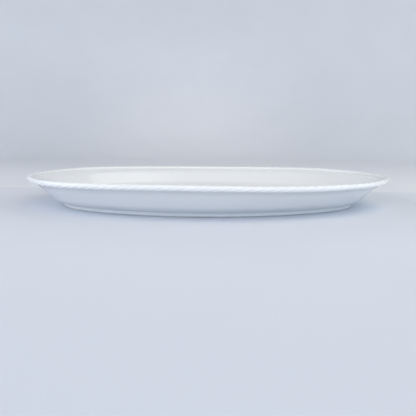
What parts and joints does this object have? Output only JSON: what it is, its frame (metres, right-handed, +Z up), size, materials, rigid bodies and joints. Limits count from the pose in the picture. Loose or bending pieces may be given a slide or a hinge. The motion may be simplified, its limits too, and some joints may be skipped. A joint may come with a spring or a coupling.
{
  "type": "serving platter",
  "caption": "Oval white glazed porcelain serving platter with plain flared sides, a moulded rope-twist edge and a low foot ring, for serving food at table.",
  "frame": {"origin": "middle of the foot ring's bearing face, on the table under the centre of the dish", "axes": "+X along the platter's long side, +Y across it, +Z up, out of the dish"},
  "size_m": [0.368, 0.264, 0.0302],
  "materials": {
    "porcelain": "bare fired porcelain, smooth and matt",
    "glaze": "clear glossy glaze over white porcelain"
  },
  "bodies": {
    "root": {"dish_body": "porcelain", "foot_ring": "porcelain", "rope_edge": "glaze", "glaze_inside": "glaze", "glaze_outside": "glaze", "glaze_underside": "glaze"}
  },
  "joints": []
}
